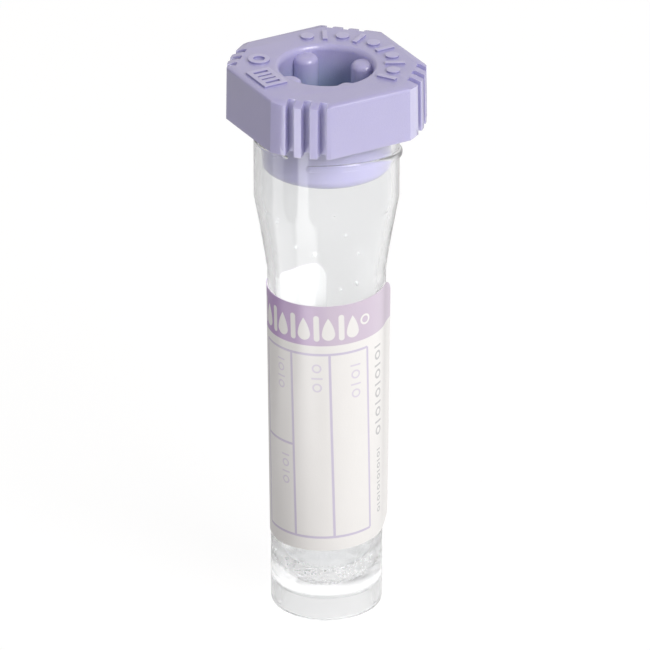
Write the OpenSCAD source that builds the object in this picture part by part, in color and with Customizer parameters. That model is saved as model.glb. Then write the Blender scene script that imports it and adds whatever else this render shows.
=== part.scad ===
// Small blood collection tube: a clear moulded tube that stands on its own hollow foot,
// a push-in cap with a square, grooved head, a wrapped paper label and a few dried
// droplets of additive on the inside wall. Millimetres, +Z up, foot on z = 0.

/* [Tube] */
// Outside radius of the foot
foot_r = 4.24; // [3.9:0.05:4.6]
// Height of the truly cylindrical foot
foot_h = 5.8; // [4:0.1:5.9]
// Outside radius of the slim body where the shoulder starts
body_r = 4.46; // [4.2:0.01:4.8]
// Height at which the shoulder starts
shoulder_z = 28; // [26:0.5:30]
// Height of the flared shoulder
shoulder_h = 6.1; // [4.5:0.1:7.5]
// How slowly the shoulder leaves the body (1 is a plain cone)
shoulder_ease = 1.12; // [1:0.05:1.8]
// Outside radius of the wide neck
neck_r = 5.44; // [5.2:0.02:5.6]
// Height of the open rim
rim_z = 42.6; // [41:0.2:44]
// Wall thickness of the tube
wall = 0.6; // [0.4:0.05:0.8]
// Rounding of the foot and rim edges
edge_r = 0.15; // [0.05:0.05:0.2]

/* [Tube bottom] */
// Height of the lowest point inside
inside_z = 2; // [1.5:0.1:3]
// Height of the deep bowl inside, which ends below the foot's top
bowl_h = 3.7; // [1.5:0.1:4]
// Thickness of the inside bottom
bottom_t = 0.8; // [0.5:0.1:1.2]
// How much higher the hollow under the foot reaches at its edge
hollow_dish = 0.65; // [0:0.05:0.8]
// Wall thickness of the hollow foot
foot_wall = 0.75; // [0.5:0.05:1]

/* [Lifting ridges] */
// How far the ridges stand out from the neck
ridge_out = 0.22; // [0.1:0.02:0.3]
// Height of a ridge's band
ridge_h = 0.45; // [0.3:0.05:0.8]
// Gap between the highest point of a ridge and the cap
ridge_gap = 0.96; // [0.6:0.05:1.5]
// Start angle of the long, falling ridge
long_ridge_start = -136; // [-150:1:-125]
// Sweep of the long ridge
long_ridge_sweep = 122; // [60:1:140]
// Direction in which the long ridge is highest
long_ridge_top = -109; // [-130:1:-90]
// Slope of the long ridge
long_ridge_tilt = 19.5; // [8:0.5:20]
// Start angle of the short, level ridge
short_ridge_start = -196; // [-210:1:-180]
// Sweep of the short ridge
short_ridge_sweep = 45; // [20:1:48]

/* [Cap head] */
// Height of the head
head_h = 4.25; // [3.6:0.05:4.8]
// How far the head reaches down over the rim
head_drop = 2.2; // [1.6:0.1:2.6]
// Distance from the axis to each plain side, at the top
side_r = 6.6; // [6.4:0.02:6.8]
// Radius of the round, grooved corners, at the top
corner_r = 7.4; // [7.2:0.02:7.8]
// How much wider the head is at its lower edge
head_draft = 0.06; // [0.02:0.02:0.14]
// Rounding of the top edge along the plain sides
side_round = 0.3; // [0.1:0.02:0.4]
// Width of the slope at the top of each corner
corner_slope = 0.75; // [0.5:0.05:1]
// How far the slope falls
corner_fall = 0.3; // [0.1:0.05:0.5]

/* [Cap grooves] */
// Grooves in each corner
groove_count = 3; // [1:1:3]
// Width of a groove
groove_w = 0.6; // [0.3:0.02:0.7]
// Depth of a groove
groove_depth = 0.95; // [0.5:0.05:1.2]
// Distance between grooves
groove_pitch = 1.22; // [1:0.02:1.25]
// Offset of the middle groove from the corner's middle
groove_shift = 0.43; // [0:0.01:0.44]

/* [Cap well] */
// Radius of the well's mouth in the top face
mouth_r = 3.84; // [3.7:0.02:4.1]
// Height of the mouth's rounded lip
mouth_h = 0.5; // [0.2:0.05:0.8]
// Radius of the well below the lip
well_r = 3.5; // [3.3:0.05:3.6]
// Thickness of the well's floor
well_floor = 0.8; // [0.5:0.1:1.2]
// Radius of each of the four lobes on the well's wall
lobe_r = 0.95; // [0.7:0.01:1]
// Distance of the lobes' middle from the axis
lobe_at = 3.15; // [3.1:0.01:3.3]
// Height of the top face above the lobes
lobe_drop = 0.45; // [0.1:0.05:0.8]
// Rounding of the lobes' top edge
lobe_round = 0.5; // [0.1:0.05:0.6]

/* [Cap plug] */
// How far the plug reaches below the head
plug_drop = 3.85; // [3:0.05:4.5]
// Running clearance between plug and tube
plug_gap = 0.04; // [0.02:0.01:0.08]
// Rounding of the plug's lower edge, which leads it into the neck
plug_round = 0.8; // [0.3:0.05:1]
// Clearance between the tube's outside and the head
head_gap = 0.08; // [0.04:0.01:0.1]
// Clearance over the tube's rim
seat_gap = 0.02; // [0.01:0.01:0.1]

/* [Cap marks] */
// Height of the raised marks on the top face
mark_h = 0.18; // [0.1:0.02:0.3]
// Width of a raised stroke
mark_w = 0.36; // [0.15:0.01:0.4]
// Length of the radial strokes
tick_len = 1.5; // [0.8:0.05:1.6]
// Radius of the dots between the strokes
dot_r = 0.5; // [0.2:0.02:0.56]
// Number of strokes and dots, taken in turn
tick_count = 10; // [3:1:10]
// Angle of the first stroke
tick_start = -58; // [-60:1:-40]
// Angle between a stroke and the next dot
tick_step = 15; // [12:0.5:15]
// Angle of the ring mark
ring_at = 142; // [130:1:150]
// Outside radius of the ring mark
ring_r = 0.8; // [0.5:0.05:0.9]
// Length of the framed mark
frame_len = 2.9; // [2:0.1:3.6]
// Width of the framed mark
frame_w = 1.9; // [1.4:0.05:2]

/* [Label] */
// Height of the label's lower edge
label_z = 6.14; // [6:0.02:8]
// Height of the label
label_h = 20.73; // [15:0.01:21]
// Thickness of the paper
label_t = 0.1; // [0.08:0.01:0.15]
// Angle at which the label starts
label_start = 61; // [50:1:70]
// Sweep of the label round the tube
label_sweep = 273; // [200:1:300]
// Rounding of the label's corners
label_corner = 1.2; // [0.5:0.1:2]
// How askew the label is stuck on
label_skew = 2.2; // [0:0.1:3]
// Side of the tube on which the label sits highest
label_high_side = -29; // [-60:1:0]

/* [Additive] */
// Radius of the largest dried droplet
drop_r = 0.2; // [0.1:0.02:0.26]
// Clearance between a droplet's flat back and the wall
drop_gap = 0.03; // [0.02:0.01:0.1]

/* [Hidden] */
$fn = 96;
EPS = 0.01;
STEPS = 10;

bowl_depth = min(bowl_h, foot_h - inside_z - 0.1);
head_z = rim_z - head_drop;
top_z = head_z + head_h;
plug_z = head_z - plug_drop;
bore_r = neck_r - wall;
plug_r = bore_r - plug_gap;
slot_r = neck_r + head_gap;
floor_z = plug_z + well_floor;
shoulder_top = shoulder_z + shoulder_h;
ridge_top = head_z - ridge_gap;
span = 4 * corner_r;
mark_r = (mouth_r + side_r - side_round) / 2;

// each droplet: its angle, its height above the shoulder's start as a share of the
// shoulder, and its share of the largest radius
DROPS = [[75, -0.11, 1], [100, 0.05, 0.7], [39, 0.16, 0.65], [19, -0.03, 0.6],
         [22, -0.43, 0.75], [52, 0.36, 0.5], [128, 0.49, 0.55], [44, -0.56, 0.5]];

// outside radius of the tube at height z
function outside(z) =
    z <= foot_h ? foot_r
    : z <= shoulder_z ? foot_r + (body_r - foot_r) * (z - foot_h) / (shoulder_z - foot_h)
    : z >= shoulder_top ? neck_r
    : body_r + (neck_r - body_r) * pow((z - shoulder_z) / shoulder_h, shoulder_ease);

// quarter circle from angle a to a + 90 round [x, z]
function quarter(x, z, r, a) = [for (i = [0:4]) [x + r * cos(a + 22.5 * i), z + r * sin(a + 22.5 * i)]];

// heights at which the outline bends, from the foot's top to the shoulder's top
function bends() = concat([foot_h], [for (i = [0:STEPS]) shoulder_z + shoulder_h * i / STEPS]);

function outside_line() = [for (z = bends()) [outside(z), z]];

function inside_line() = [for (i = [len(bends()) - 1:-1:0]) [outside(bends()[i]) - wall, bends()[i]]];

// bowl of the inside bottom, from the wall down to the axis
function bowl_line() =
    [for (i = [0:STEPS])
        [(foot_r - wall) * cos(90 * i / STEPS), inside_z + bowl_depth * (1 - sin(90 * i / STEPS))]];

// underside of the bottom, from the axis to the foot's inside wall
function hollow_line() =
    let (low = inside_z - bottom_t, high = low + hollow_dish, r = foot_r - foot_wall)
    [[0, low], [r / 2, low], [r - edge_r, high], [r, high - edge_r]];

module tube_section() {
    polygon(concat(
        quarter(foot_r - edge_r, edge_r, edge_r, -90),
        outside_line(),
        quarter(neck_r - edge_r, rim_z - edge_r, edge_r, 0),
        quarter(bore_r + edge_r, rim_z - edge_r, edge_r, 90),
        inside_line(),
        bowl_line(),
        hollow_line(),
        quarter(foot_r - foot_wall + edge_r, edge_r, edge_r, 180)));
}

// band on the neck, between two planes that fall away from the angle top_at
module ridge(start, sweep, top_at, tilt) {
    lean = (neck_r + ridge_out) * tan(tilt);
    intersection() {
        rotate([0, 0, start])
            rotate_extrude(angle = sweep)
                translate([bore_r + wall / 2, rim_z - 4 * head_h])
                    square([neck_r + ridge_out - bore_r - wall / 2, 4 * head_h]);
        rotate([0, 0, top_at])
            translate([0, 0, ridge_top - lean])
                rotate([0, -tilt, 0])
                    translate([-span / 2, -span / 2, -ridge_h])
                        cube([span, span, ridge_h]);
    }
}

module tube() {
    color([0.86, 0.88, 0.9, 0.45]) {
        rotate_extrude() tube_section();
        ridge(long_ridge_start, long_ridge_sweep, long_ridge_top, long_ridge_tilt);
        ridge(short_ridge_start, short_ridge_sweep, long_ridge_top, 0);
    }
}

// side view of the head between two plain sides: upright with draft, then a rounded edge
module flats_profile() {
    for (side = [0, 1])
        mirror([side, 0])
            polygon(concat([[0, 0], [side_r + head_draft, 0]],
                           quarter(side_r - side_round, head_h - side_round, side_round, 0),
                           [[0, head_h]]));
}

// side view of the head between two corners: only the slope at the top cuts anything
module slopes_profile() {
    far = 2 * corner_r;
    near = corner_r - corner_slope;
    for (side = [0, 1])
        mirror([side, 0])
            polygon([[0, 0], [far, 0], [far, head_h - corner_fall * (far - near) / corner_slope],
                     [near, head_h], [0, head_h]]);
}

// square head with round corners
module head_block() {
    translate([0, 0, head_z])
        intersection() {
            cylinder(r1 = corner_r + head_draft, r2 = corner_r, h = head_h);
            rotate([90, 0, 0]) linear_extrude(span, center = true) flats_profile();
            rotate([90, 0, 90]) linear_extrude(span, center = true) flats_profile();
            rotate([90, 0, 45]) linear_extrude(span, center = true) slopes_profile();
            rotate([90, 0, 135]) linear_extrude(span, center = true) slopes_profile();
        }
}

module corner_grooves() {
    for (corner = [45:90:315], i = [0:groove_count - 1])
        rotate([0, 0, corner])
            translate([corner_r - groove_depth,
                       groove_shift + (i - (groove_count - 1) / 2) * groove_pitch - groove_w / 2,
                       head_z - EPS])
                cube([2 * groove_depth, groove_w, head_h + 2 * EPS]);
}

// lobe with a rounded top, standing on the well's floor
module lobe() {
    lobe_z = top_z - lobe_drop;
    translate([lobe_at, 0, 0])
        rotate_extrude()
            polygon(concat([[0, floor_z - well_floor / 2], [lobe_r, floor_z - well_floor / 2]],
                           quarter(lobe_r - lobe_round, lobe_z - lobe_round, lobe_round, 0),
                           [[0, lobe_z]]));
}

// rounded lip, from the well's wall up and out to the top face
function lip_line() =
    [for (i = [0:STEPS])
        [mouth_r - (mouth_r - well_r) * cos(90 * i / STEPS), top_z - mouth_h * (1 - sin(90 * i / STEPS))]];

module well() {
    difference() {
        rotate_extrude()
            polygon(concat([[0, floor_z], [well_r, floor_z]], lip_line(),
                           [[mouth_r, top_z + head_h], [0, top_z + head_h]]));
        for (angle = [0:90:270])
            rotate([0, 0, angle]) lobe();
    }
}

// ring-shaped slot that takes the tube's rim
module rim_slot() {
    translate([0, 0, head_z - EPS])
        difference() {
            cylinder(r = slot_r, h = head_drop + seat_gap + EPS);
            translate([0, 0, -EPS])
                cylinder(r = plug_r, h = head_drop + head_h);
        }
}

module plug() {
    rotate_extrude()
        polygon(concat([[0, plug_z]],
                       quarter(plug_r - plug_round, plug_z + plug_round, plug_round, -90),
                       [[plug_r, top_z - head_h / 2], [0, top_z - head_h / 2]]));
}

module stroke() {
    translate([-tick_len / 2, -mark_w / 2, 0])
        cube([tick_len, mark_w, mark_h + EPS]);
}

module ring_mark() {
    difference() {
        cylinder(r = ring_r, h = mark_h + EPS);
        translate([0, 0, -EPS])
            cylinder(r = ring_r - mark_w, h = mark_h + 3 * EPS);
    }
}

// raised frame with three bars, its long side along Y
module framed_mark() {
    difference() {
        translate([-frame_w / 2, -frame_len / 2, 0])
            cube([frame_w, frame_len, mark_h + EPS]);
        translate([mark_w - frame_w / 2, mark_w - frame_len / 2, -EPS])
            cube([frame_w - 2 * mark_w, frame_len - 2 * mark_w, mark_h + 3 * EPS]);
    }
    for (i = [-1:1])
        translate([-frame_w / 2 + mark_w, i * frame_len / 5 - mark_w / 2, 0])
            cube([frame_w - 2 * mark_w, mark_w, mark_h + EPS]);
}

// plain strokes, dots, a ring and a frame, all raised from the top face
module top_marks() {
    translate([0, 0, top_z - EPS]) {
        for (i = [0:tick_count - 1])
            rotate([0, 0, tick_start + i * tick_step])
                translate([mark_r, 0, 0])
                    if (i % 2 == 0) stroke();
                    else cylinder(r = dot_r, h = mark_h + EPS);
        rotate([0, 0, ring_at])
            translate([mark_r, 0, 0]) ring_mark();
        translate([-mark_r, 0, 0]) framed_mark();
    }
}

module cap() {
    color([0.62, 0.6, 0.78]) {
        difference() {
            union() {
                difference() {
                    head_block();
                    corner_grooves();
                    rim_slot();
                }
                plug();
            }
            well();
        }
        top_marks();
    }
}

// height of the label's lower edge at an angle round the tube
function label_low(angle) = label_z + body_r * tan(label_skew) * cos(angle - label_high_side);

// what a rounded corner leaves over; side 1 faces clockwise, up 1 hangs from the top edge
module label_corner_waste(angle, side, up) {
    translate([0, 0, label_low(angle) + up * label_h])
        rotate([0, 0, angle])
            mirror([0, side, 0])
                mirror([0, 0, up])
                    rotate([90, 0, 90])
                        linear_extrude(span)
                            difference() {
                                translate([-label_corner, -label_corner])
                                    square(2 * label_corner);
                                translate([label_corner, label_corner])
                                    circle(label_corner);
                            }
}

module label() {
    low = label_z - label_corner;
    high = label_z + label_h + label_corner;
    color([0.95, 0.94, 0.95])
        difference() {
            intersection() {
                rotate([0, 0, label_start])
                    rotate_extrude(angle = label_sweep)
                        polygon([[outside(low), low], [outside(low) + label_t, low],
                                 [outside(foot_h) + label_t, foot_h],
                                 [outside(high) + label_t, high], [outside(high), high],
                                 [outside(foot_h), foot_h]]);
                translate([0, 0, label_z + label_h / 2])
                    rotate([0, 0, label_high_side])
                        rotate([0, -label_skew, 0])
                            cube([span, span, label_h], center = true);
            }
            for (up = [0, 1]) {
                label_corner_waste(label_start, 0, up);
                label_corner_waste(label_start + label_sweep, 1, up);
            }
        }
}

// half a ball, flat towards the wall and round towards the axis
module droplet(angle, z, r) {
    rotate([0, 0, angle])
        translate([outside(z) - wall - drop_gap, 0, z])
            rotate([0, -90, 0])
                intersection() {
                    sphere(r = r, $fn = 32);
                    translate([-r, -r, 0])
                        cube(2 * r);
                }
}

module additive_droplets() {
    color([0.93, 0.94, 0.96])
        for (drop = DROPS)
            droplet(drop[0], shoulder_z + shoulder_h * drop[1], drop_r * drop[2]);
}

tube();
cap();
label();
additive_droplets();
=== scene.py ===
import math

import bmesh
import bpy
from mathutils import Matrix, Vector


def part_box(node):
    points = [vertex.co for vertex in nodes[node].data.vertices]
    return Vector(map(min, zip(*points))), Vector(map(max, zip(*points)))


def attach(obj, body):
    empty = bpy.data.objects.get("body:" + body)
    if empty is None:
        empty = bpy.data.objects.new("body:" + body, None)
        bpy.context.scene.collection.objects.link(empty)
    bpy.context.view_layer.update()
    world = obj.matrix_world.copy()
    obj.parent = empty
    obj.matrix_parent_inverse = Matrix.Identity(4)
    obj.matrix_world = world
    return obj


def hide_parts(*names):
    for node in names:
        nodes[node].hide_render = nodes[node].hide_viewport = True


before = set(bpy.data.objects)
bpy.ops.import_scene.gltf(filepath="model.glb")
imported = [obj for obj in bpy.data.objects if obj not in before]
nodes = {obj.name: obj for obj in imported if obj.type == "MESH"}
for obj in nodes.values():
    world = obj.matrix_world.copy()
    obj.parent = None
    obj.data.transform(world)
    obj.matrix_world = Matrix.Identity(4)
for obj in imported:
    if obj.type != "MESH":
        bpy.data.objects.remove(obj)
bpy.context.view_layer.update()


# ---------------------------------------------------------------- studio
# A white table top and white surroundings under one broad soft lamp at the right front,
# with weaker light from everywhere else. None of it belongs to the tube.

class Wire:
    """A number in a finish: plain arithmetic on it adds the Math nodes that work it out."""

    def __init__(self, finish, socket):
        self.finish, self.socket = finish, socket

    def maths(self, operation, *values, clamp=False):
        settings = {"operation": operation, "use_clamp": clamp}
        return self.finish.add("ShaderNodeMath", settings, dict(enumerate(values)))

    def __add__(self, other):
        return self.maths("ADD", self, other)

    def __radd__(self, other):
        return self.maths("ADD", other, self)

    def __sub__(self, other):
        return self.maths("SUBTRACT", self, other)

    def __rsub__(self, other):
        return self.maths("SUBTRACT", other, self)

    def __mul__(self, other):
        return self.maths("MULTIPLY", self, other)

    def __rmul__(self, other):
        return self.maths("MULTIPLY", other, self)

    def __truediv__(self, other):
        return self.maths("DIVIDE", self, other)

    def __rtruediv__(self, other):
        return self.maths("DIVIDE", other, self)

    def __mod__(self, other):
        return self.maths("FLOORED_MODULO", self, other)

    def __abs__(self):
        return self.maths("ABSOLUTE", self)

    def __and__(self, other):
        return self.maths("MINIMUM", self, other)

    def __or__(self, other):
        return self.maths("MAXIMUM", self, other)

    def hypot(self, other):
        return self.maths("SQRT", self * self + other * other)

    def sharp(self, softness):
        """1 where the number is above 0 and 0 where it is below, soft over that width."""
        return self.maths("ADD", self / softness, 0.5, clamp=True)

    def within(self, low, high, softness):
        """1 where the number lies between low and high."""
        return (self - low).sharp(softness) & (high - self).sharp(softness)


class Finish:
    """The nodes of a material or of the surroundings, added one by one."""

    def __init__(self, owner):
        self.owner = owner
        owner.use_nodes = True
        self.tree = owner.node_tree
        self.tree.nodes.clear()

    def add(self, kind, settings=None, values=None, out=0):
        """Add a node with its settings and its values or links, and hand on one of its outputs."""
        node = self.tree.nodes.new(kind)
        for key, value in (settings or {}).items():
            setattr(node, key, value)
        for key, value in (values or {}).items():
            if isinstance(value, Wire):
                self.tree.links.new(value.socket, node.inputs[key])
            else:
                node.inputs[key].default_value = value
        return Wire(self, node.outputs[out])

    def blend(self, share, first, second):
        """A colour between two colours."""
        colours = {0: share, 6: first, 7: second}
        return self.add("ShaderNodeMix", {"data_type": "RGBA"}, colours, out=2)

    def ray(self, kind):
        """1 for light of one kind, as Light Path names it."""
        return self.add("ShaderNodeLightPath", out=kind)

    def sight(self):
        """1 where a thing is seen straight, through clear plastic, or mirrored in a gloss."""
        through = self.ray("Is Transmission Ray")
        return self.ray("Is Camera Ray"), through, self.ray("Is Glossy Ray") * (1 - through)

    def split(self, vector):
        """The three numbers of a vector."""
        return [self.add("ShaderNodeSeparateXYZ", values={0: vector}, out=i) for i in range(3)]

    def place(self):
        """Where a point of the piece lies, as three numbers in metres."""
        return self.split(self.add("ShaderNodeTexCoord", out="Object"))

    def speckle(self, size, detail=2.0, roughness=0.5):
        """Cloudy noise from 0 to 1, with lumps of about that size in metres."""
        point = self.add("ShaderNodeTexCoord", out="Object")
        values = {"Vector": point, "Scale": 1 / size, "Detail": detail, "Roughness": roughness}
        return self.add("ShaderNodeTexNoise", values=values)

    def relief(self, height, depth, strength=1.0):
        """A normal for a surface whose height from 0 to 1 stands for that depth in metres."""
        values = {"Strength": strength, "Distance": depth, "Height": height}
        return self.add("ShaderNodeBump", values=values)

    def close(self, shader):
        """Send a shader to the output, and hand on the material or the surroundings."""
        whole = isinstance(self.owner, bpy.types.World)
        output = self.tree.nodes.new("ShaderNodeOutputWorld" if whole else "ShaderNodeOutputMaterial")
        self.tree.links.new(shader.socket, output.inputs["Surface"])
        return self.owner


scene = bpy.context.scene
scene.view_settings.view_transform = "Standard"

# enough for light to cross every wall of the clear tube
for limit in ("max_bounces", "transmission_bounces", "glossy_bounces"):
    setattr(scene.cycles, limit, 20)

# a long lens that looks down at the tube from its left front
lens = bpy.data.cameras.new("lens")
lens.sensor_width = 36
lens.lens = 444.75
lens.shift_x = -0.00246
lens.clip_start, lens.clip_end = 0.02, 5
camera = bpy.data.objects.new("camera", lens)
camera.location = (-0.2656, -0.4706, 0.29323)
camera.rotation_euler = (math.radians(63.44), 0, math.radians(-29.44))
scene.collection.objects.link(camera)
scene.camera = camera

# white where they are seen straight, brighter behind the plastic, duller in a gloss, and
# about half as bright where they only light the tube
surroundings = Finish(bpy.data.worlds.new("surroundings"))
seen, through, mirrored = surroundings.sight()
soft_light, behind_plastic, in_gloss, dimmer_at_back = 0.52, 1.25, 0.75, 0.15
_, northward, _ = surroundings.split(surroundings.add("ShaderNodeTexCoord", out="Generated"))
brightness = soft_light + (
    seen * (1 - soft_light) | through * (behind_plastic - soft_light) | mirrored * (in_gloss - soft_light))
only_lights = 1 - (seen | through | mirrored)
scene.world = surroundings.close(surroundings.add("ShaderNodeBackground", values={
    "Color": surroundings.blend(seen | through, (1, 0.965, 0.955, 1), (1, 1, 1, 1)),
    "Strength": brightness * (1 - dimmer_at_back * northward * only_lights)}))

table_top = bmesh.new()
bmesh.ops.create_grid(table_top, x_segments=1, y_segments=1, size=2)
table_mesh = bpy.data.meshes.new("table")
table_top.to_mesh(table_mesh)
table_top.free()
table = bpy.data.objects.new("table", table_mesh)
table.location.z = -0.00002  # just clear of the foot
scene.collection.objects.link(table)
laminate = Finish(bpy.data.materials.new("white_laminate"))
seen, through, mirrored = laminate.sight()
east, north, _ = laminate.place()


def out_towards(bearing, start):
    """How far a point of the table lies beyond that distance from the tube, towards a bearing."""
    return east * math.cos(math.radians(bearing)) + north * math.sin(math.radians(bearing)) - start


def lamp_glint(bearing, width, starts=0.03):
    """A small lamp's reflection in the table: a stripe that runs away from the tube."""
    stripe = (width / 2 - abs(out_towards(bearing + 90, 0))).sharp(width / 4)
    return stripe & out_towards(bearing, starts).sharp(0.02)


# how brightly the table shows: straight, through the plastic, and in the gloss of a piece; the lamp's side
# of the table is a painted pool of light that shows only in the gloss
# painted light: a brighter patch of table under the tube, seen only through the plastic
painted_light_under_tube = (0.02 - east.hypot(north)).sharp(0.01)
painted_lamp_pool = out_towards(-72, 0.008).sharp(0.03)
glints = 5 * lamp_glint(-156, 0.024) + 2.2 * lamp_glint(160, 0.03)
glow = (seen * 1.15 + through * (0.83 + 0.07 * painted_light_under_tube)
        + mirrored * (0.55 + 1.9 * painted_lamp_pool + glints))

# a fifth is left to the laminate itself, so that the tube's soft shadow shows
glow_share = 0.8
table_mesh.materials.append(laminate.close(laminate.add("ShaderNodeMixShader", values={
    0: (seen | through | mirrored) * glow_share,
    1: laminate.add("ShaderNodeBsdfDiffuse", values={"Color": (0.55, 0.545, 0.54, 1)}),
    2: laminate.add("ShaderNodeEmission", values={"Color": (1, 1, 1, 1), "Strength": glow})})))

# the key lamp, aimed at the middle of the tube
lamp_bearing, lamp_height, lamp_distance = math.radians(-78), math.radians(36), 0.6
tube_middle = Vector((0, 0, 0.022))
along_table = math.cos(lamp_height)
towards_lamp = Vector((
    math.cos(lamp_bearing) * along_table, math.sin(lamp_bearing) * along_table, math.sin(lamp_height)))
key_light = bpy.data.lights.new("key_lamp", "AREA")
key_light.size, key_light.energy, key_light.color = 0.3, 2.12, (1, 0.985, 0.96)
key_lamp = bpy.data.objects.new("key_lamp", key_light)
key_lamp.location = towards_lamp * lamp_distance + tube_middle
key_lamp.rotation_euler = towards_lamp.to_track_quat("Z", "Y").to_euler()
scene.collection.objects.link(key_lamp)


# ---------------------------------------------------------------- tube
# One clear polypropylene moulding: a hollow foot, a slim body with a rounded inside
# bottom, a flared shoulder and a wide neck, with two low ridges round the neck that the
# cap's edge lifts off.

foot_radius, foot_height, foot_wall = 0.00424, 0.0058, 0.00075
body_radius, neck_radius, tube_wall = 0.00446, 0.00544, 0.0006
shoulder_low, shoulder_high, shoulder_curve = 0.028, 0.0341, 1.12
inside_bottom, bowl_height = 0.002, 0.0037
hollow_top = inside_bottom - 0.0008
hollow_dish = 0.00065
edge_rounding, foot_rounding = 0.00015, 0.00025
rim_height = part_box("tube")[1].z


def tube_radius(z):
    """Outside radius of the tube at a height, without its ridges."""
    if z <= foot_height:
        return foot_radius
    if z <= shoulder_low:
        taper = (body_radius - foot_radius) * (z - foot_height) / (shoulder_low - foot_height)
        return foot_radius + taper
    share = min(1.0, (z - shoulder_low) / (shoulder_high - shoulder_low))
    return body_radius + (neck_radius - body_radius) * share ** shoulder_curve


def arc(r, z, radius, start, steps=6):
    """Points of a quarter circle from an angle in degrees, as (radius, height)."""
    turns = [math.radians(start + 90 * i / steps) for i in range(steps + 1)]
    return [(r + radius * math.cos(a), z + radius * math.sin(a)) for a in turns]


def levels(low, high, step):
    """Numbers from low to high, about one step apart."""
    count = max(1, round((high - low) / step))
    return [low + (high - low) * i / count for i in range(count + 1)]


def turned(outline, steps):
    """A closed outline of (radius, height) points, turned about the tube's axis."""
    shape = bmesh.new()
    rings = []
    for r, z in outline:
        if r < 1e-9:
            rings.append([shape.verts.new((0, 0, z))] * steps)
        else:
            turns = [2 * math.pi * i / steps for i in range(steps)]
            rings.append([shape.verts.new((r * math.cos(a), r * math.sin(a), z)) for a in turns])
    for low, high in zip(rings, rings[1:] + rings[:1]):
        for i in range(steps):
            j = (i + 1) % steps
            corners = list(dict.fromkeys([low[i], low[j], high[j], high[i]]))
            if len(corners) > 2:
                shape.faces.new(corners)
    bmesh.ops.recalc_face_normals(shape, faces=shape.faces)
    return shape


def piece(name, shape, sharp_from, *finishes):
    """A piece of the object from a built shape, smooth up to an angle in degrees."""
    mesh = bpy.data.meshes.new(name)
    shape.to_mesh(mesh)
    shape.free()
    mesh.shade_smooth()
    mesh.set_sharp_from_angle(angle=math.radians(sharp_from))
    for finish in finishes:
        mesh.materials.append(finish)
    made = bpy.data.objects.new(name, mesh)
    scene.collection.objects.link(made)
    return made


def settle(made):
    """Turn a piece's modifiers into its own mesh."""
    ready = bpy.context.evaluated_depsgraph_get()
    mesh = bpy.data.meshes.new_from_object(made.evaluated_get(ready))
    made.modifiers.clear()
    made.data = mesh


bore_radius = neck_radius - tube_wall
foot_inside = foot_radius - foot_wall
heights = (levels(foot_height, shoulder_low, 0.002)[:-1]
           + levels(shoulder_low, shoulder_high, 0.0003)
           + levels(shoulder_high, rim_height - edge_rounding, 0.0006)[1:-1])
bore_heights = [z for z in reversed(heights) if z > inside_bottom + bowl_height + 0.0001]
bowl_turns = [math.radians(90 * i / 16) for i in range(16)]
bowl = [((foot_radius - tube_wall) * math.cos(a), inside_bottom + bowl_height * (1 - math.sin(a)))
        for a in bowl_turns]
hollow_wall = levels(edge_rounding, hollow_top + hollow_dish - edge_rounding, 0.0003)[1:]
tube_outline = (
    arc(foot_radius - foot_rounding, foot_rounding, foot_rounding, -90)
    + [(foot_radius, z) for z in levels(foot_rounding, foot_height, 0.0006)[1:-1]]
    + [(tube_radius(z), z) for z in heights]
    + arc(neck_radius - edge_rounding, rim_height - edge_rounding, edge_rounding, 0)
    + arc(bore_radius + edge_rounding, rim_height - edge_rounding, edge_rounding, 90)
    + [(tube_radius(z) - tube_wall, z) for z in bore_heights]
    + bowl
    + [(0, inside_bottom), (0, hollow_top), (foot_inside / 2, hollow_top)]
    + [(foot_inside - edge_rounding, hollow_top + hollow_dish)]
    + [(foot_inside, z) for z in reversed(hollow_wall)]
    + arc(foot_inside + edge_rounding, edge_rounding, edge_rounding, 180))


def ridge(start, sweep, highest, top, tilt, out=0.00022, thick=0.00045):
    """A bead round the neck, one section a degree, in a tilted plane. It runs out at both ends."""
    shape = bmesh.new()
    sections = []
    root, run_out, steepness = neck_radius - 0.0003, 4, math.tan(math.radians(tilt))
    for i in range(sweep + 1):
        angle = math.radians(start + i)
        end = min(1.0, min(i, sweep - i) / run_out + 0.02) ** 0.5
        fall = (neck_radius + out) * steepness * (1 - math.cos(angle - math.radians(highest)))
        middle = top - thick / 2 - fall
        section = [(root, -0.5), (root, 0.5)]
        section += [(neck_radius + out * end * (1 - 0.5 * (abs(s) * 2) ** 3), s * end)
                    for s in (0.5, 0.42, 0.28, 0.1, -0.1, -0.28, -0.42, -0.5)]
        sections.append([
            shape.verts.new((r * math.cos(angle), r * math.sin(angle), middle + share * thick))
            for r, share in section])
    for one, two in zip(sections, sections[1:]):
        for k in range(len(one)):
            m = (k + 1) % len(one)
            shape.faces.new((one[k], one[m], two[m], two[k]))
    shape.faces.new(sections[0])
    shape.faces.new(sections[-1])
    bmesh.ops.recalc_face_normals(shape, faces=shape.faces)
    return shape


clear = Finish(bpy.data.materials.new("clear_polypropylene"))
_, _, high = clear.place()
foot_haze = (0.0075 - high).sharp(0.002)
above_foot = (high - 0.008).sharp(0.004)
waves = clear.relief(clear.speckle(0.004, detail=1) * above_foot, depth=0.00004)
gloss = clear.add("ShaderNodeBsdfPrincipled", values={
    "Base Color": (0.972, 0.978, 0.984, 1), "Roughness": 0.06 + foot_haze * 0.12, "IOR": 1.49,
    "Transmission Weight": 1.0, "Normal": waves})
milky = clear.add("ShaderNodeBsdfDiffuse", values={"Color": (0.95, 0.955, 0.96, 1)})
hazy = clear.add("ShaderNodeMixShader", values={0: 0.05, 1: gloss, 2: milky})
# light goes straight on through the plastic, so that it casts hardly any shadow
lets_light_by = clear.add("ShaderNodeBsdfTransparent", values={"Color": (0.97, 0.975, 0.98, 1)})
clear_plastic = clear.close(clear.add("ShaderNodeMixShader", values={
    0: clear.ray("Is Shadow Ray"), 1: hazy, 2: lets_light_by}))

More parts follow.
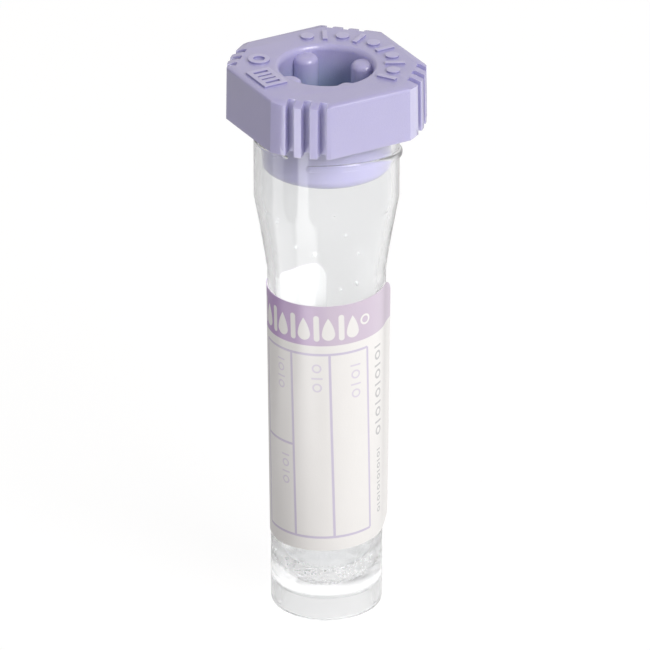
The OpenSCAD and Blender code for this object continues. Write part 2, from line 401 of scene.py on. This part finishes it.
tube = piece("clear_tube", turned(tube_outline, 256), 30, clear_plastic)
cap_head = 0.00521
cap_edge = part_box("cap")[1].z - cap_head
long_ridge = ridge(start=-136, sweep=122, highest=-109, top=cap_edge - 0.00065, tilt=13, thick=0.0006)
short_ridge = ridge(start=-196, sweep=45, highest=-109, top=cap_edge - 0.00018, tilt=0)
beads = [piece(name, bead, 30, clear_plastic)
         for name, bead in (("long_ridge", long_ridge), ("short_ridge", short_ridge))]
for bead in beads:
    join = tube.modifiers.new(bead.name, "BOOLEAN")
    join.operation, join.solver, join.object = "UNION", "EXACT", bead
settle(tube)
tube.data.set_sharp_from_angle(angle=math.radians(30))
for bead in beads:
    bpy.data.objects.remove(bead)
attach(tube, "tube_body")
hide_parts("tube")


# ---------------------------------------------------------------- label
# White self-adhesive paper wrapped round the slim body, printed with a purple band, a
# thin form and small marks. It starts at the back, is stuck on a little askew, and its
# other end has begun to lift at the right. Its glue is wet to the plastic, with no air.

label_low, label_height, label_thick, glued_in = 0.00614, 0.02073, 0.00007, 0.00001
label_starts, label_turn = 61, 273
label_rounding, rounding_steps = 0.0012, 10
askew, high_side = math.radians(2.2), math.radians(-29)
start_dips_by, start_dips_until, start_dips_steeply = 0.0004, 75, 2.5
lifted_length, lifted_by = 0.0012, 0.0003
front_middle, print_slant = math.radians(240.56), 0.0257

wrap_radius = tube_radius(label_low + label_height / 2)
wrap_length = math.radians(label_turn) * wrap_radius
quarter_steps = [label_rounding * (1 - math.cos(math.radians(90 * i / rounding_steps)))
                 for i in range(rounding_steps)]
columns = (quarter_steps
           + levels(label_rounding, wrap_length - label_rounding, 0.00015)
           + [wrap_length - d for d in reversed(quarter_steps)])
rows = 36
sheet = bmesh.new()
print_at = sheet.verts.layers.float_vector.new("paper")
inner, outer = [], []
for along in columns:
    angle = math.radians(label_starts) + along / wrap_radius
    end = min(along, wrap_length - along, label_rounding)
    cut = label_rounding - math.sqrt(max(0.0, label_rounding ** 2 - (label_rounding - end) ** 2))
    loose = max(0.0, along - wrap_length + lifted_length) / lifted_length
    low = label_low + body_radius * math.tan(askew) * math.cos(angle - high_side)
    to_go = max(0.0, 1 - math.degrees(along / wrap_radius) / start_dips_until)
    low -= start_dips_by * min(1.0, start_dips_steeply * to_go) ** 2
    for side, columns_made in enumerate((inner, outer)):
        column = []
        for j in range(rows + 1):
            up = cut + (label_height - 2 * cut) * j / rows
            glue_line = tube_radius(low + up) - glued_in
            r = glue_line + side * (label_thick + glued_in) + lifted_by * loose ** 2
            point = sheet.verts.new((r * math.cos(angle), r * math.sin(angle), low + up))
            across = (angle - front_middle) * r + print_slant * (up - label_height / 2)
            point[print_at] = (across * 1000, up * 1000, side)
            column.append(point)
        columns_made.append(column)
for side in (inner, outer):
    for one, two in zip(side, side[1:]):
        for j in range(rows):
            sheet.faces.new((one[j], two[j], two[j + 1], one[j + 1]))
for k in range(len(columns) - 1):
    for j in (0, rows):
        sheet.faces.new((inner[k][j], inner[k + 1][j], outer[k + 1][j], outer[k][j]))
for k in (0, -1):
    for j in range(rows):
        sheet.faces.new((inner[k][j], inner[k][j + 1], outer[k][j + 1], outer[k][j]))
bmesh.ops.recalc_face_normals(sheet, faces=sheet.faces)

# the print is laid out in millimetres on the flat sheet, across and up from its lower edge
paper = Finish(bpy.data.materials.new("printed_paper"))
printed = paper.add("ShaderNodeAttribute", {"attribute_name": "paper"}, out="Vector")
across, up, outside = paper.split(printed)
fuzz = 0.05

# a band with white bars and drops, taken in turn, and a ring after them
band_low, pattern_left, pattern_right, spacing = 17.43, -8.6, 2.8, 1.9
bar_at, bar_up, bar_straight, bar_round = 0.45, band_low + 1.45, 0.85, 0.22
drop_at, drop_up, drop_round, drop_tall = 1.35, band_low + 0.95, 0.5, 1.35
ring_at, ring_up, ring_inside, ring_outside = 3.35, 19.1, 0.28, 0.44
# painted sheen: where the band's ink starts to pale towards the right, and over what width
painted_sheen_from, painted_sheen_over = -2, 5

along = (across - pattern_left) % spacing
past_bar = (abs(up - bar_up) - bar_straight) | 0
bars = (bar_round - (along - bar_at).hypot(past_bar)).sharp(fuzz)
from_drop, above_drop = along - drop_at, up - drop_up
belly = (drop_round - from_drop.hypot(above_drop)).sharp(fuzz)
share = above_drop / drop_tall
tip_width = drop_round * (1 - share) * (1 + 0.8 * share)
tip = (tip_width - abs(from_drop)).sharp(fuzz) & above_drop.within(0, drop_tall, fuzz)
white_marks = (bars | belly | tip) & across.within(pattern_left, pattern_right, fuzz)
ring = (across - ring_at).hypot(up - ring_up).within(ring_inside, ring_outside, fuzz)
band = (up - band_low).sharp(fuzz) & (1 - (white_marks | ring))

# a form of thin lines, with three columns and one of them halved
line = 0.095
form_left, first_column, second_column, form_right = -5.8, -2.68, 0.38, 3.51
form_low, halved_at, form_top = 1.15, 8.85, 16.68


def ruled(distance):
    """1 on a printed line, from the distance to its middle."""
    return (line - abs(distance)).sharp(fuzz)


sides = ruled(across - form_left) | ruled(across - form_right)
columns_ruled = ruled(across - first_column) | ruled(across - second_column)
ends = ruled(up - form_low) | ruled(up - form_top)
lines = ((sides | columns_ruled) & up.within(form_low, form_top, fuzz)
         | ends & across.within(form_left, form_right, fuzz)
         | ruled(up - halved_at) & across.within(form_left, first_column, fuzz))


def curls(middle, low, count, size, pen):
    """A column of rings and strokes in turn, as wide as that size, in place of small print."""
    aside = across - middle
    step, reach = 0.95 * size, 0.5 * size
    turn = (up - low) % (2 * step)
    loop = (pen - abs(aside.hypot(turn - 0.5 * step) - 0.36 * size)).sharp(fuzz)
    rod = (pen - abs(turn - 1.45 * step)).sharp(fuzz) & (reach - abs(aside)).sharp(fuzz)
    return (loop | rod) & up.within(low, low + count * step, fuzz)


captions = (curls(middle=-3.75, low=13.3, count=4, size=0.75, pen=0.06)
            | curls(middle=-0.62, low=13.5, count=3, size=0.85, pen=0.065)
            | curls(middle=2.4, low=12.7, count=4, size=0.85, pen=0.065)
            | curls(middle=-3.5, low=5.3, count=4, size=0.75, pen=0.06))
small_print = (curls(middle=4.75, low=8.6, count=10, size=0.85, pen=0.085)
               | curls(middle=4.75, low=1.9, count=12, size=0.5, pen=0.06)
               | curls(middle=-7.4, low=2.2, count=16, size=0.8, pen=0.08))

fibres = paper.speckle(0.00012, detail=3)
clouds = paper.speckle(0.003, detail=2)
white = paper.blend(clouds, (0.87, 0.865, 0.86, 1), (0.91, 0.905, 0.9, 1))
shade = paper.blend(lines * 0.55, white, (0.42, 0.33, 0.62, 1))
shade = paper.blend(captions * 0.4, shade, (0.5, 0.4, 0.68, 1))
shade = paper.blend(small_print * 0.6, shade, (0.28, 0.29, 0.32, 1))
# painted sheen: the band's ink pales towards the right, standing in for the varnish's gloss under the lamp
painted_sheen_share = (across - painted_sheen_from).sharp(painted_sheen_over)
band_ink_with_painted_sheen = paper.blend(painted_sheen_share, (0.46, 0.29, 0.59, 1), (0.64, 0.55, 0.68, 1))
shade = paper.blend(band, shade, band_ink_with_painted_sheen)
printed_side = (outside - 0.5).sharp(0.2)
# painted light: the unprinted back is whiter than the paper, standing in for the light that reaches it
# through the plastic
shade = paper.blend(printed_side, (0.99, 0.99, 0.99, 1), shade)
printed_paper = paper.close(paper.add("ShaderNodeBsdfPrincipled", values={
    "Base Color": shade, "Roughness": 0.4 + fibres * 0.1, "IOR": 1.45,
    "Coat Weight": printed_side * 0.6, "Coat Roughness": 0.25,
    "Normal": paper.relief(fibres, depth=0.000008)}))

label = piece("paper_label", sheet, 40, printed_paper)
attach(label, "tube_body")
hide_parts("label")


# ---------------------------------------------------------------- cap
# One soft lavender moulding: a square head with round, grooved corners and a deep well,
# and a plug that goes into the neck. Its skin is finely matt, the upright edges beside
# its grooves are softly rounded, and plain marks stand out of its top.

cap_shape = bmesh.new()
cap_shape.from_mesh(nodes["cap"].data)
bmesh.ops.remove_doubles(cap_shape, verts=cap_shape.verts, dist=0.000002)
bmesh.ops.dissolve_limit(
    cap_shape, angle_limit=math.radians(0.5), verts=cap_shape.verts, edges=cap_shape.edges)

cap_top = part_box("cap")[1].z
# clamping holds the last two to almost nothing, so they only settle how the faces shade
grip_rounding, top_rounding, other_rounding = 0.00016, 0.00013, 0.00009


def rounded(radius, choose):
    """Round off the cap's outer corners that pass the test on their two ends."""
    corners = [edge for edge in cap_shape.edges
               if edge.is_manifold and edge.calc_face_angle_signed() > math.radians(30)
               and choose(*[corner.co for corner in edge.verts])]
    bmesh.ops.bevel(cap_shape, geom=corners, affect="EDGES", offset=radius, segments=4,
                    profile=0.5, clamp_overlap=True)


def on_grip(one, two):
    """An upright edge of the ridges between the grooves."""
    return one.xy.length > 0.0055 and abs(one.z - two.z) > 0.002


def on_top_rim(one, two):
    """An edge of the top's outer rim, below the marks."""
    low, high = sorted((one.z, two.z))
    return (min(one.xy.length, two.xy.length) > 0.005
            and cap_top - 0.0006 < low and high < cap_top - 0.00005)


rounded(grip_rounding, on_grip)
rounded(top_rounding, on_top_rim)

lavender = Finish(bpy.data.materials.new("lavender_polyethylene"))
grain = lavender.speckle(0.00009, detail=3, roughness=0.6)
flow = lavender.speckle(0.004, detail=2)
tint = lavender.blend(flow, (0.39, 0.368, 0.64, 1), (0.44, 0.418, 0.69, 1))
tint = lavender.blend(grain * 0.25, tint, (0.6, 0.58, 0.8, 1))

# painted shade: deeper and greener down in the well, and darker on the marks' sides; painted light: paler
# on the marks' tops
aside, forward, high = lavender.place()
down = cap_top - high
painted_shade_in_well = (0.0036 - aside.hypot(forward)).sharp(0.0006) & (down - 0.003).sharp(0.004)
tint = lavender.blend(painted_shade_in_well * 0.7, tint, (0.28, 0.48, 0.58, 1))
# painted shade: the marks' sides darkened as if in shadow
painted_shade_on_mark_sides = down.within(0.00004, 0.00016, 0.00003)
# painted light: the marks' tops lightened as if catching the lamp
painted_light_on_mark_tops = (0.00003 - down).sharp(0.00002)
tint = lavender.blend(painted_shade_on_mark_sides * 0.6, tint, (0.16, 0.15, 0.36, 1))
tint = lavender.blend(painted_light_on_mark_tops * 0.35, tint, (0.62, 0.6, 0.85, 1))
lavender_plastic = lavender.close(lavender.add("ShaderNodeBsdfPrincipled", values={
    "Base Color": tint, "Roughness": 0.4 + grain * 0.15, "IOR": 1.5,
    "Coat Weight": 1.0, "Coat Roughness": 0.25, "Coat IOR": 1.65,
    "Subsurface Weight": 0.4, "Subsurface Scale": 0.0006, "Subsurface Radius": (0.9, 0.9, 1.2),
    "Normal": lavender.relief(grain, depth=0.00002)}))

cap = piece("lavender_cap", cap_shape, 30, lavender_plastic)
soften = cap.modifiers.new("soft_edges", "BEVEL")
soften.width, soften.segments = other_rounding, 3
soften.limit_method, soften.angle_limit = "ANGLE", math.radians(30)
soften.use_clamp_overlap, soften.harden_normals = True, True
settle(cap)
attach(cap, "cap_body")
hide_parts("cap")


# ---------------------------------------------------------------- additive
# Anticoagulant that was sprayed into the tube and left to dry: a mottled film of fine
# grains on the bowl of the inside bottom, and a few larger drops above the label.

class Pattern(Finish):
    """The nodes of a Geometry Nodes tree with named inputs, each a number."""

    def __init__(self, name, inputs):
        self.tree = bpy.data.node_groups.new(name, "GeometryNodeTree")
        for end in ("INPUT", "OUTPUT"):
            self.tree.interface.new_socket("Geometry", in_out=end, socket_type="NodeSocketGeometry")
        for given in inputs:
            self.tree.interface.new_socket(given, in_out="INPUT", socket_type="NodeSocketFloat")

    def given(self, name):
        return self.add("NodeGroupInput", out=name)

    def close(self, geometry):
        self.tree.links.new(geometry.socket, self.tree.nodes.new("NodeGroupOutput").inputs[0])
        return self.tree


drops = Finish(bpy.data.materials.new("dried_drops"))
crust = drops.speckle(0.00004, detail=2)
dried = drops.close(drops.add("ShaderNodeBsdfPrincipled", values={
    "Base Color": drops.blend(crust, (0.9, 0.92, 0.94, 1), (0.98, 0.98, 0.98, 1)),
    "Roughness": 0.2 + crust * 0.2, "IOR": 1.4, "Normal": drops.relief(crust, depth=0.00001)}))
for slot in nodes["additive_droplets"].material_slots:
    slot.material = dried

grain_sizes = {
    "Smallest Grain": 0.00003, "Largest Grain": 0.00009, "Grains per Area": 1.8e7, "Clump Size": 0.0006}
scatter = Pattern("dried_grains", grain_sizes)
clumps = scatter.add("ShaderNodeTexNoise", values={"Scale": 1 / scatter.given("Clump Size"), "Detail": 1})
density = (clumps - 0.52).sharp(0.06) * scatter.given("Grains per Area")
points = scatter.add("GeometryNodeDistributePointsOnFaces", values={
    "Mesh": scatter.given("Geometry"), "Density": density, "Seed": 7})
facing = Wire(scatter, points.socket.node.outputs["Rotation"])
wide = scatter.add("FunctionNodeRandomValue", {"data_type": "FLOAT"}, {
    2: scatter.given("Smallest Grain"), 3: scatter.given("Largest Grain"), "Seed": 3}, out=1)
flattened = scatter.add("ShaderNodeCombineXYZ", values={0: wide, 1: wide, 2: wide * 0.4})
grain_shape = scatter.add("GeometryNodeMeshIcoSphere", values={"Radius": 1.0, "Subdivisions": 2})
placed = scatter.add("GeometryNodeInstanceOnPoints", values={
    "Points": points, "Instance": grain_shape, "Rotation": facing, "Scale": flattened})
real = scatter.add("GeometryNodeRealizeInstances", values={"Geometry": placed})
scatter.close(scatter.add("GeometryNodeSetMaterial", values={"Geometry": real, "Material": dried}))

# the film lies on the bowl, from a little below its edge
bowl_face = bmesh.new()
turns = [2 * math.pi * i / 48 for i in range(48)]
rings = [[bowl_face.verts.new((r * math.cos(a), r * math.sin(a), z)) for a in turns]
         for r, z in bowl[3:]]
for low, high in zip(rings, rings[1:]):
    for i in range(len(turns)):
        bowl_face.faces.new((low[i - 1], low[i], high[i], high[i - 1]))
film = piece("dried_film", bowl_face, 60)
grow = film.modifiers.new("dried_grains", "NODES")
grow.node_group = scatter.tree
for socket in scatter.tree.interface.items_tree:
    if socket.name in grain_sizes:
        grow[socket.identifier] = grain_sizes[socket.name]
settle(film)
film.data.shade_smooth()
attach(film, "tube_body")
